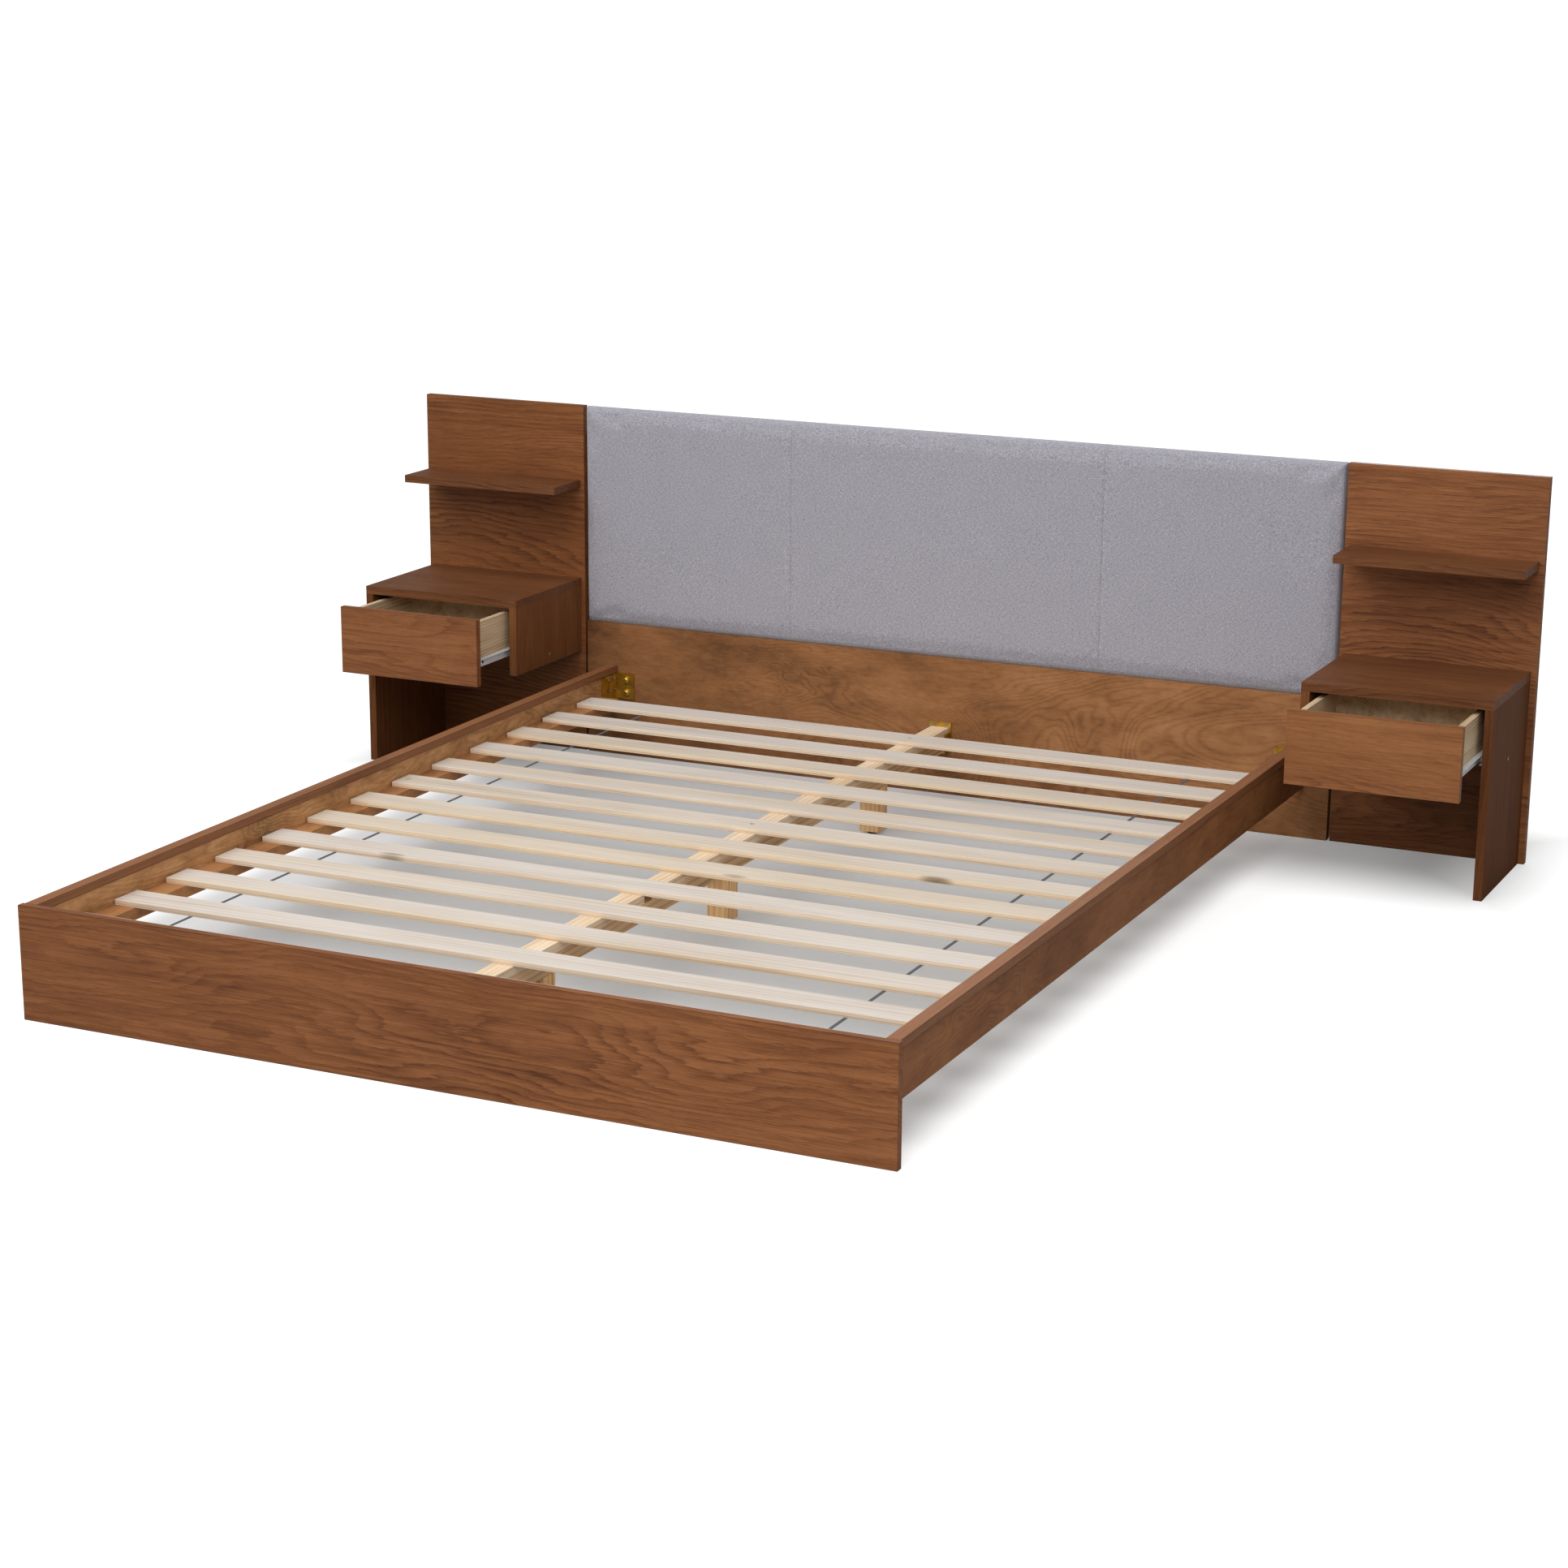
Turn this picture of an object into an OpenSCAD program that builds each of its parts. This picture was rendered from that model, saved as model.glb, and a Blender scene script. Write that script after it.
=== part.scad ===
// Queen platform bed: slatted frame with a low footboard, and a headboard whose two
// wings each carry a shelf and a small nightstand with one inset drawer.
// X runs across the bed, Y from the foot to the headboard, Z up from the floor.
// The origin is on the floor, under the middle of the whole bed.

/* [Overall] */
// Depth from the footboard's face to the back of the headboard battens
bed_depth = 2120; // [2100:5:2140]
// Width over both headboard wings
bed_width = 2496; // [2480:4:2520]
// Height of the headboard
headboard_h = 769; // [740:1:800]

/* [Footboard and rails] */
// Width of the footboard
foot_w = 1600; // [1596:2:1604]
// Height of the footboard and of the rail tops
rail_top = 202; // [196:1:210]
// Thickness of the footboard
foot_t = 16; // [12:1:18]
// How far each rail sits in from the end of the footboard
rail_inset = 3; // [0:1:10]
// Height of the underside of the rails
rail_bottom = 106; // [96:1:112]
// Thickness of the rail board
rail_t = 21; // [18:1:22]
// Height of the rail cap
cap_h = 15; // [12:1:18]
// Overhang of the rail cap on each side of its board
cap_over = 2; // [1:0.5:3]
// Width of the ledge that carries the slats
ledge_w = 45; // [30:1:50]
// Height of the ledge that carries the slats
ledge_h = 22; // [18:1:26]

/* [Slats and centre beam] */
// Thickness of a slat
slat_t = 10; // [9:1:14]
// Width of a slat
slat_w = 66; // [56:1:70]
// Distance from one slat to the next
slat_pitch = 151; // [148:1:152]
// Distance from the footboard's face to the first slat
slat_start = 74; // [70:1:80]
// Height of the ledge tops, on which the slats lie
ledge_top = 146; // [142:1:150]
// Width of the centre beam
beam_w = 40; // [36:1:44]
// Height of the beam's laminated core
beam_core_h = 32; // [28:1:36]
// Height of the pale strips on top of the beam
beam_strip_h = 16; // [12:1:20]
// Side of a square centre leg
leg_w = 42; // [38:1:46]
// Distance from one centre leg to the next
leg_pitch = 695; // [680:5:700]

/* [Headboard] */
// Thickness of the wing panels
wing_t = 18; // [16:1:20]
// Width of one wing panel
wing_w = 395; // [385:1:400]
// Height of the plain board under the pad
lower_board_h = 296; // [280:1:300]
// Thickness of the plain board under the pad
lower_board_t = 20; // [18:1:22]
// How far the pad stands out in front of the wings
pad_proud = 8; // [4:1:14]
// Thickness of the battens behind the headboard
batten_t = 20; // [16:1:25]

/* [Nightstands] */
// Depth of a nightstand in front of its wing
stand_d = 291; // [289:1:296]
// Height of the nightstand top
stand_h = 389; // [380:1:396]
// Thickness of the nightstand boards
stand_t = 17; // [16:1:18]
// Inset of a nightstand from its wing's inner edge
stand_inset_in = 10; // [8:1:12]
// Inset of a nightstand from its wing's outer edge
stand_inset_out = 12; // [8:1:16]
// Height of the underside of the drawer bay
bay_bottom = 226; // [222:1:228]
// Depth of the shelf
shelf_d = 117; // [100:1:130]
// Height of the shelf's upper face
shelf_top = 606; // [560:1:640]
// Thickness of the shelf
shelf_t = 16; // [14:1:18]

/* [Drawers] */
// How far the left drawer stands open at rest
open_left = 134; // [0:1:180]
// How far the right drawer stands open at rest
open_right = 154; // [0:1:180]
// Thickness of the drawer front
front_t = 16; // [14:1:16]
// Gap around the drawer front
front_gap = 2.5; // [2:0.5:3]
// Space taken by the slide on each side of a drawer
slide_gap = 13; // [13:0.5:14]
// Thickness of the drawer box boards
box_t = 12; // [10:1:14]
// Length of the drawer box
box_l = 250; // [245:1:250]
// Radius of the slide rollers
roller_r = 8; // [7.5:0.5:8]

/* [Hidden] */
$fn = 48;

// colours
walnut = "#7d4e30";
golden_ply = "#8f613a";
cap_brown = "#9a6640";
pale_slat = "#dfd3c6";
laminated = "#b08c64";
pale_pine = "#e3cba3";
pine = "#c9975c";
box_wood = "#cdb493";
linen_grey = "#a5a3a8";
zinc_yellow = "#c2a048";
slide_white = "#e8eaec";
nylon_white = "#dcdcd8";
glide_black = "#1b1b1b";
strap_grey = "#4b4b50";
steel = "#8d8d90";

// places along Y
y_front = -bed_depth / 2;
y_foot_in = y_front + foot_t;
y_wing = bed_depth / 2 - batten_t - wing_t;
y_wing_back = y_wing + wing_t;
y_lower = y_wing_back - lower_board_t;
y_stand = y_wing - stand_d;

// rails, measured from the centre line
x_rail_out = foot_w / 2 - rail_inset - cap_over;
x_rail_in = x_rail_out - rail_t;
rail_l = y_lower - y_foot_in;
slat_count = 13;
slat_end_gap = 4;
x_slat = x_rail_in - slat_end_gap;
z_slat = ledge_top + slat_t;
strap_x = 613;
strap_w = 6;
strap_t = 0.8;

// centre beam and its legs
z_core = ledge_top - beam_strip_h - beam_core_h;
strip_gap_y = y_front + 687;
strip_gap = 28;
glide_r = 13;
glide_h = 6;
glide_edge = 1.5;
leg_start = 341;
leg_bolt_drop = 28;
leg_bolt_l = 50;

// corner brackets between the rails and the end boards
bracket_t = 3;
bracket_l = 75;
bracket_w = 43;
bracket_z = 128;
foot_bracket_drop = 14;
bracket_h = rail_top - cap_h - 1 - bracket_z;
bracket_bolt_z = [bracket_z + 14, bracket_z + bracket_h - 16];
bracket_screw_y = [20, 46];
bracket_screw_z = [bracket_z + 26, bracket_z + bracket_h - 8];
bolt_r = 4;
bolt_l = 11;
bolt_x = x_rail_in - 24;
ledge_clear = 3;
y_ledge = y_foot_in + bracket_l + ledge_clear;
ledge_l = rail_l - 2 * (bracket_l + ledge_clear);

// beam brackets
plate_t = 3;
plate_w = 50;
plate_top = ledge_top + 11;
cheek_t = 2.5;
cheek_l = 30;
cheek_h = 40;

// headboard, measured from the centre line
x_wing = bed_width / 2 - wing_w;
joint_gap = 6;
x_board = x_wing - joint_gap;
x_pad = x_wing - 3;
pad_seat = 3;
pad_rim = 12;
pad_back_t = 13;
pad_corner_r = 6;
batten_w = 60;
batten_top = headboard_h - 60;
x_stile = 300;
joint_batten_z = 4;
stile_z = 40;

// nightstand, measured from the centre line
x_in = x_wing + stand_inset_in;
x_out = bed_width / 2 - stand_inset_out;
x_bay_in = x_in + stand_t;
x_bay_out = x_out - stand_t;
bay_top = stand_h - stand_t;
y_bay_mid = y_stand + stand_d / 2;
shelf_over = 2;
stretcher_w = 20;
stretcher_h = 22;
stretcher_z = bay_bottom + 10;

// drawer box
x_box_in = x_bay_in + slide_gap;
x_box_out = x_bay_out - slide_gap;
box_bottom = bay_bottom + 39;
box_top = bay_top - 12;
groove = 5;
floor_t = 5;
floor_z = box_bottom + 6;

// slides
slide_sheet = 1.2;
slide_y = 18;
slide_l = 250;
travel = 190;
channel_z = box_bottom - 5;
channel_h = 24;
flange_w = 9;
stop_t = 2;
stop_h = 3;
lip_z = box_bottom + 17;
lip_w = 10;
roller_w = 6;
roller_u = 2.6;
axle_r = 2;
axle_play = 0.1;
run_play = 0.3;
front_roller_z = lip_z - slide_sheet - run_play - roller_r;
front_roller_y = y_stand + slide_y + 12;
rear_roller_z = channel_z + slide_sheet + run_play + roller_r;
rear_roller_y = y_stand + slide_y + slide_l - 10;
stop_y = rear_roller_y - travel - roller_r - stop_t;

// box from one corner to the opposite one
module span(a, b) {
    translate(a)
        cube(b - a);
}

// the same shape on both sides of the bed
module both_sides() {
    children();
    mirror([1, 0, 0])
        children();
}

// one side only: side is 1 on the right and -1 on the left
module on_side(side) {
    if (side > 0)
        children();
    else
        mirror([1, 0, 0])
            children();
}

// board with softened long edges, lying along X with its section in YZ
module eased_section(d, h, r) {
    translate([r, 0])
        square([d - 2 * r, h]);
    translate([0, r])
        square([d, h - 2 * r]);
    for (y = [r, d - r], z = [r, h - r])
        translate([y, z])
            circle(r, $fn = 24);
}

module eased_board_x(l, d, h, r) {
    rotate([90, 0, 90])
        linear_extrude(l)
            eased_section(d, h, r);
}

// screw with a low head on top and the shank pointing down; reach lengthens the head to open its hole
module screw(head_r, head_h, shank_r, shank_l, reach = 0) {
    cylinder(r = head_r, h = head_h + reach, $fn = 24);
    translate([0, 0, -shank_l])
        cylinder(r = shank_r, h = shank_l + 0.01, $fn = 24);
}

// fasteners, each group also cut out of the boards it goes through
slat_bore_r = 5;
slat_bore_depth = 4.5;
slat_screw_x = x_slat - 18;
screw_sink = 1.2;
batten_screw_sink = 2;
hole_reach = 2;
batten_screw_l = batten_t + 8;
screwed_slats = [8, 13];

function slat_y(i) = y_front + slat_start + (i - 1) * slat_pitch;

module at_slat_screws(i) {
    for (x = [-slat_screw_x, 0, slat_screw_x])
        translate([x, slat_y(i) + slat_w / 2, z_slat - slat_bore_depth])
            children();
}

module slat_screws() {
    for (i = screwed_slats)
        at_slat_screws(i)
            screw(4, 3, 2, 20);
}

module at_brackets() {
    both_sides()
        for (end = [0, 1])
            translate([0, end == 0 ? y_foot_in : y_lower, end == 0 ? -foot_bracket_drop : 0])
                mirror([0, end, 0])
                    children();
}

module bracket_screws() {
    at_brackets()
        for (y = bracket_screw_y, z = bracket_screw_z)
            translate([x_rail_in - bracket_t, y, z])
                rotate([0, -90, 0])
                    screw(4, 2, 2, 14);
}

module beam_plate_screws() {
    for (end = [0, 1], x = [-14, 14])
        translate([x, end == 0 ? y_foot_in + plate_t : y_lower - plate_t, ledge_top + 6])
            rotate([end == 0 ? -90 : 90, 0, 0])
                screw(3.2, 1.5, 1.8, 13);
}

module bay_screws(reach = 0) {
    both_sides() {
        translate([x_out - screw_sink, y_bay_mid, stretcher_z + stretcher_h / 2])
            rotate([0, 90, 0])
                screw(4, 1, 2.4, 36, reach);
        translate([x_in + screw_sink, y_bay_mid, stretcher_z + stretcher_h / 2])
            rotate([0, -90, 0])
                screw(4, 1, 2.4, 36, reach);
    }
}

module batten_screws(reach = 0) {
    both_sides() {
        for (x = [x_board - 13, x_wing + 13], z = [60, 240, 420, 600])
            translate([x, bed_depth / 2 - batten_screw_sink, z])
                rotate([-90, 0, 0])
                    screw(4, 1.4, 2, batten_screw_l, reach);
        for (z = [90, 240, 380, 600])
            translate([x_stile, bed_depth / 2 - batten_screw_sink, z])
                rotate([-90, 0, 0])
                    screw(4, 1.4, 2, batten_screw_l, reach);
    }
}

module stand_screws(reach = 0) {
    both_sides() {
        for (x = [x_in + stand_t / 2, x_out - stand_t / 2], z = [bay_bottom + 30, bay_top - 30])
            translate([x, y_wing_back - screw_sink, z])
                rotate([-90, 0, 0])
                    screw(4.5, 1, 2.5, 50, reach);
        for (x = [x_in + 60, x_out - 60])
            translate([x, y_wing_back - screw_sink, shelf_top - shelf_t / 2])
                rotate([-90, 0, 0])
                    screw(4.5, 1, 2.5, 50, reach);
        translate([x_out - stand_t / 2, y_wing_back - screw_sink, 60])
            rotate([-90, 0, 0])
                screw(4.5, 1, 2.5, 50, reach);
    }
}

module bracket_bolts() {
    at_brackets()
        for (z = bracket_bolt_z)
            translate([bolt_x, bracket_t, z])
                rotate([-90, 0, 0]) {
                    cylinder(r = 9, h = 1.5);
                    translate([0, 0, 1.5])
                        cylinder(r1 = 7.5, r2 = 4, h = 4);
                    translate([0, 0, -bracket_t - bolt_l])
                        cylinder(r = bolt_r, h = bracket_t + bolt_l + 0.01);
                }
}

module at_legs() {
    for (i = [0 : 2])
        translate([0, y_front + leg_start + i * leg_pitch, 0])
            children();
}

module leg_bolts() {
    at_legs()
        translate([0, 0, z_core - leg_bolt_drop])
            cylinder(r = bolt_r, h = leg_bolt_l);
}

module frame_bolts() {
    color(zinc_yellow) {
        bracket_bolts();
        leg_bolts();
    }
}

module wood_screws() {
    color(steel) {
        slat_screws();
        bracket_screws();
        beam_plate_screws();
        bay_screws();
        batten_screws();
        stand_screws();
    }
}

// bed frame
module footboard_panel() {
    color(walnut)
        difference() {
            translate([-foot_w / 2, y_front, 0])
                eased_board_x(foot_w, foot_t, rail_top, 1.5);
            bracket_bolts();
            beam_plate_screws();
        }
}

module side_rail(side) {
    color(golden_ply)
        difference() {
            on_side(side)
                span([x_rail_in, y_foot_in, rail_bottom], [x_rail_out, y_lower, rail_top - cap_h]);
            bracket_screws();
        }
}

module rail_cap(side) {
    color(cap_brown)
        on_side(side)
            translate([x_rail_in - cap_over, y_foot_in, rail_top - cap_h])
                translate([rail_t + 2 * cap_over, 0, 0])
                    rotate([0, 0, 90])
                        eased_board_x(rail_l, rail_t + 2 * cap_over, cap_h, 1.5);
}

module slat_ledge(side) {
    color(golden_ply)
        difference() {
            on_side(side)
                translate([x_rail_in - ledge_w, y_ledge, ledge_top - ledge_h])
                    cube([ledge_w, ledge_l, ledge_h]);
            slat_screws();
        }
}

module centre_beam() {
    color(laminated)
        difference() {
            span([-beam_w / 2, y_foot_in + plate_t, z_core],
                 [beam_w / 2, y_lower - plate_t, z_core + beam_core_h]);
            slat_screws();
            leg_bolts();
        }
}

module beam_strips() {
    color(pale_pine)
        difference() {
            span([-beam_w / 2, y_foot_in + plate_t, z_core + beam_core_h],
                 [beam_w / 2, y_lower - plate_t, ledge_top]);
            span([-beam_w, strip_gap_y, z_core + beam_core_h],
                 [beam_w, strip_gap_y + strip_gap, ledge_top + 1]);
            slat_screws();
        }
}

module beam_bracket() {
    plate_bottom = z_core - cheek_t;
    span([-plate_w / 2, 0, plate_bottom], [plate_w / 2, plate_t, plate_top]);
    span([-beam_w / 2 - cheek_t, 0, plate_bottom], [beam_w / 2 + cheek_t, cheek_l, z_core]);
    for (x = [-beam_w / 2 - cheek_t, beam_w / 2])
        span([x, 0, plate_bottom], [x + cheek_t, cheek_l, plate_bottom + cheek_h]);
}

module beam_brackets() {
    color(zinc_yellow)
        difference() {
            union() {
                translate([0, y_foot_in, 0])
                    beam_bracket();
                translate([0, y_lower, 0])
                    mirror([0, 1, 0])
                        beam_bracket();
            }
            beam_plate_screws();
        }
}

module centre_legs() {
    color(pine)
        difference() {
            at_legs()
                translate([-leg_w / 2, -leg_w / 2, glide_h])
                    cube([leg_w, leg_w, z_core - glide_h]);
            leg_bolts();
        }
}

module leg_glides() {
    color(glide_black)
        at_legs() {
            cylinder(r1 = glide_r - glide_edge, r2 = glide_r, h = glide_edge);
            translate([0, 0, glide_edge])
                cylinder(r = glide_r, h = glide_h - glide_edge);
        }
}

module slat(i) {
    color(pale_slat)
        difference() {
            translate([-x_slat, slat_y(i), ledge_top])
                eased_board_x(2 * x_slat, slat_w, slat_t, 1);
            if (len(search(i, screwed_slats)) > 0) {
                slat_screws();
                at_slat_screws(i)
                    cylinder(r = slat_bore_r, h = slat_bore_depth + 1);
            }
        }
}

module slat_straps() {
    color(strap_grey)
        both_sides()
            span([strap_x - strap_w / 2, slat_y(1), ledge_top - strap_t],
                 [strap_x + strap_w / 2, slat_y(slat_count) + slat_w, ledge_top]);
}

module rail_brackets() {
    color(zinc_yellow)
        difference() {
            at_brackets() {
                span([x_rail_in - bracket_t, 0, bracket_z],
                     [x_rail_in, bracket_l, bracket_z + bracket_h]);
                span([x_rail_in - bracket_w, 0, bracket_z],
                     [x_rail_in, bracket_t, bracket_z + bracket_h]);
            }
            bracket_screws();
            bracket_bolts();
        }
}

// headboard
module headboard_lower_board() {
    color(golden_ply)
        difference() {
            span([-x_board, y_lower, 0], [x_board, y_wing_back, lower_board_h]);
            bracket_bolts();
            beam_plate_screws();
            batten_screws(hole_reach);
        }
}

module backing_blank() {
    span([-x_pad + pad_rim, y_wing_back - pad_back_t, lower_board_h + pad_seat + pad_rim],
         [x_pad - pad_rim, y_wing_back, headboard_h - pad_rim]);
}

module headboard_backing() {
    color(golden_ply)
        difference() {
            backing_blank();
            batten_screws(hole_reach);
        }
}

module headboard_pad() {
    pad_h = headboard_h - lower_board_h - pad_seat;
    pad_d = wing_t + pad_proud;
    color(linen_grey)
        difference() {
            translate([-x_pad, y_wing - pad_proud, lower_board_h + pad_seat])
                eased_board_x(2 * x_pad, pad_d, pad_h, pad_corner_r);
            backing_blank();
        }
}

module headboard_battens() {
    color(pine)
        difference() {
            both_sides() {
                span([x_wing - batten_w / 2, y_wing_back, joint_batten_z],
                     [x_wing + batten_w / 2, bed_depth / 2, batten_top]);
                span([x_stile - batten_w / 2, y_wing_back, stile_z],
                     [x_stile + batten_w / 2, bed_depth / 2, batten_top]);
            }
            batten_screws(hole_reach);
        }
}

module wing(side) {
    color(walnut)
        difference() {
            on_side(side)
                translate([x_wing, y_wing, 0])
                    eased_board_x(wing_w, wing_t, headboard_h, 1.5);
            batten_screws(hole_reach);
            stand_screws(hole_reach);
        }
}

module shelf(side) {
    color(walnut)
        difference() {
            on_side(side)
                span([x_in, y_wing - shelf_d, shelf_top - shelf_t],
                     [x_out + shelf_over, y_wing, shelf_top]);
            stand_screws(hole_reach);
        }
}

// nightstands
module nightstand_top(side) {
    color(walnut)
        on_side(side)
            span([x_in, y_stand, bay_top], [x_out, y_wing, stand_h]);
}

module outer_side(side) {
    color(walnut)
        difference() {
            on_side(side)
                span([x_bay_out, y_stand, 0], [x_out, y_wing, bay_top]);
            bay_screws(hole_reach);
            stand_screws(hole_reach);
        }
}

module inner_side(side) {
    color(walnut)
        difference() {
            on_side(side)
                span([x_in, y_stand, bay_bottom], [x_bay_in, y_wing, bay_top]);
            bay_screws(hole_reach);
            stand_screws(hole_reach);
        }
}

module bay_stretchers() {
    color(pine)
        difference() {
            both_sides()
                span([x_bay_in, y_bay_mid - stretcher_w / 2, stretcher_z],
                     [x_bay_out, y_bay_mid + stretcher_w / 2, stretcher_z + stretcher_h]);
            bay_screws(hole_reach);
        }
}

// slides: children are drawn for a slide on the bay's inner panel, u running towards
// the drawer from the panel's face, and again mirrored on its outer panel
module at_bay_sides(side) {
    on_side(side) {
        translate([x_bay_in, 0, 0])
            children();
        translate([x_bay_out, 0, 0])
            mirror([1, 0, 0])
                children();
    }
}

module axle(u, l, y, z) {
    translate([u, y, z])
        rotate([0, 90, 0])
            cylinder(r = axle_r, h = l);
}

module rivet_head(u, y, z) {
    translate([u, y, z])
        rotate([0, 90, 0])
            cylinder(r = 3.5, h = 0.8);
}

module roller(y, z) {
    translate([roller_u, y, z])
        rotate([0, 90, 0])
            difference() {
                cylinder(r = roller_r, h = roller_w);
                translate([0, 0, -1])
                    cylinder(r = axle_r + axle_play, h = roller_w + 2);
            }
}

module slide_channels(side) {
    y0 = y_stand + slide_y;
    color(slide_white)
        at_bay_sides(side) {
            span([0, y0, channel_z], [slide_sheet, y0 + slide_l, channel_z + channel_h]);
            span([0, y0, channel_z], [flange_w, y0 + slide_l, channel_z + slide_sheet]);
            span([0, y0, channel_z + channel_h - slide_sheet],
                 [flange_w, y0 + slide_l, channel_z + channel_h]);
            span([0, stop_y, channel_z], [flange_w, stop_y + stop_t, channel_z + stop_h]);
            axle(slide_sheet / 2, roller_u + roller_w, front_roller_y, front_roller_z);
            rivet_head(roller_u + roller_w + 0.3, front_roller_y, front_roller_z);
        }
}

module front_rollers(side) {
    color(nylon_white)
        at_bay_sides(side)
            roller(front_roller_y, front_roller_z);
}

// drawers
function open_at_rest(side) = side > 0 ? open_right : open_left;

module pulled_out(side) {
    translate([0, -open_at_rest(side), 0])
        children();
}

module drawer_front(side) {
    color(walnut)
        pulled_out(side)
            on_side(side)
                translate([x_bay_in + front_gap, y_stand, bay_bottom])
                    eased_board_x(x_bay_out - x_bay_in - 2 * front_gap, front_t,
                                  bay_top - bay_bottom - front_gap, 1);
}

module drawer_sides(side) {
    y0 = y_stand + front_t;
    color(box_wood)
        pulled_out(side)
            on_side(side)
                difference() {
                    for (x = [x_box_in, x_box_out - box_t])
                        span([x, y0, box_bottom], [x + box_t, y0 + box_l, box_top]);
                    span([x_box_in + box_t - groove, y0, floor_z],
                         [x_box_out - box_t + groove, y0 + box_l, floor_z + floor_t]);
                }
}

module drawer_back(side) {
    y0 = y_stand + front_t + box_l - box_t;
    color(box_wood)
        pulled_out(side)
            on_side(side)
                span([x_box_in + box_t, y0, floor_z + floor_t],
                     [x_box_out - box_t, y0 + box_t, box_top]);
}

module drawer_bottom(side) {
    y0 = y_stand + front_t;
    color(golden_ply)
        pulled_out(side)
            on_side(side)
                span([x_box_in + box_t - groove, y0, floor_z],
                     [x_box_out - box_t + groove, y0 + box_l, floor_z + floor_t]);
}

module slide_runners(side) {
    y0 = y_stand + slide_y;
    u_face = slide_gap - slide_sheet;
    color(slide_white)
        pulled_out(side)
            at_bay_sides(side) {
                span([u_face, y0, box_bottom - slide_sheet], [slide_gap, y0 + slide_l, lip_z]);
                span([u_face, y0, box_bottom - slide_sheet],
                     [slide_gap + box_t, y0 + slide_l, box_bottom]);
                span([slide_gap - lip_w, y0, lip_z - slide_sheet], [slide_gap, y0 + slide_l, lip_z]);
                axle(roller_u - 0.4, u_face - roller_u + 1, rear_roller_y, rear_roller_z);
                rivet_head(roller_u - 1.1, rear_roller_y, rear_roller_z);
            }
}

module rear_rollers(side) {
    color(nylon_white)
        pulled_out(side)
            at_bay_sides(side)
                roller(rear_roller_y, rear_roller_z);
}

footboard_panel();
side_rail(-1);  // side_rail_left
side_rail(1);  // side_rail_right
rail_cap(-1);  // rail_cap_left
rail_cap(1);  // rail_cap_right
slat_ledge(-1);  // slat_ledge_left
slat_ledge(1);  // slat_ledge_right
centre_beam();
beam_strips();
beam_brackets();
centre_legs();
leg_glides();
slat(1);  // slat_01
slat(2);  // slat_02
slat(3);  // slat_03
slat(4);  // slat_04
slat(5);  // slat_05
slat(6);  // slat_06
slat(7);  // slat_07
slat(8);  // slat_08
slat(9);  // slat_09
slat(10);  // slat_10
slat(11);  // slat_11
slat(12);  // slat_12
slat(13);  // slat_13
slat_straps();
rail_brackets();
frame_bolts();
wood_screws();
headboard_lower_board();
headboard_backing();
headboard_pad();
headboard_battens();
wing(-1);  // wing_left
wing(1);  // wing_right
shelf(-1);  // shelf_left
shelf(1);  // shelf_right
nightstand_top(-1);  // nightstand_top_left
nightstand_top(1);  // nightstand_top_right
outer_side(-1);  // outer_side_left
outer_side(1);  // outer_side_right
inner_side(-1);  // inner_side_left
inner_side(1);  // inner_side_right
bay_stretchers();
slide_channels(-1);  // slide_channels_left
slide_channels(1);  // slide_channels_right
front_rollers(-1);  // front_rollers_left
front_rollers(1);  // front_rollers_right
drawer_front(-1);  // drawer_front_left
drawer_front(1);  // drawer_front_right
drawer_sides(-1);  // drawer_sides_left
drawer_sides(1);  // drawer_sides_right
drawer_back(-1);  // drawer_back_left
drawer_back(1);  // drawer_back_right
drawer_bottom(-1);  // drawer_bottom_left
drawer_bottom(1);  // drawer_bottom_right
slide_runners(-1);  // slide_runners_left
slide_runners(1);  // slide_runners_right
rear_rollers(-1);  // rear_rollers_left
rear_rollers(1);  // rear_rollers_right
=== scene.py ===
"""Looks for the platform bed: materials, upholstered pad, fasteners, camera, floor and light."""

import math

import bmesh
import bpy
from mathutils import Euler, Matrix, Vector, noise


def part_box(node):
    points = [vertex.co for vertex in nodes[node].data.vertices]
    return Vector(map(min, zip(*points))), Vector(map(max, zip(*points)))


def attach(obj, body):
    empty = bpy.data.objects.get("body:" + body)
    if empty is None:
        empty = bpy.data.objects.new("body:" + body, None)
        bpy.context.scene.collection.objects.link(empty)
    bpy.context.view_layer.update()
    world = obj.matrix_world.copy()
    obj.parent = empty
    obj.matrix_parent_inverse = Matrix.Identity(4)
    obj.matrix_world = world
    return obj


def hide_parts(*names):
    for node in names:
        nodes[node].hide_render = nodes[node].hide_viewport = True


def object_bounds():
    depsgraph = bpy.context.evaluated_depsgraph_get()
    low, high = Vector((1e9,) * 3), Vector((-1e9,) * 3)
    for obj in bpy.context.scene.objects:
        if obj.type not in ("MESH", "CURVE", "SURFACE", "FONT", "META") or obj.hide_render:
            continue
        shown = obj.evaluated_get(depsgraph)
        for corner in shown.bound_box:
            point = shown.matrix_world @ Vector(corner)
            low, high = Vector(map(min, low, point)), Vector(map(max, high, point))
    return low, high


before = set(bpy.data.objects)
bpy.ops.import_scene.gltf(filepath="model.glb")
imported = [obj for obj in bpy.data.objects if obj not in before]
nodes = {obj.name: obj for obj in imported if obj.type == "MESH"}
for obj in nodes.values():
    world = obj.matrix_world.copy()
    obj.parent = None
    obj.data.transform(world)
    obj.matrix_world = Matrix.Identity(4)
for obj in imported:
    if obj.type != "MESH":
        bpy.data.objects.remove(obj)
cad_box = [list(corner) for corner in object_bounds()]
scene = bpy.context.scene

MM = 0.001
SIDES = ("left", "right")


# ---------------------------------------------------------------- node graphs

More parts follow.
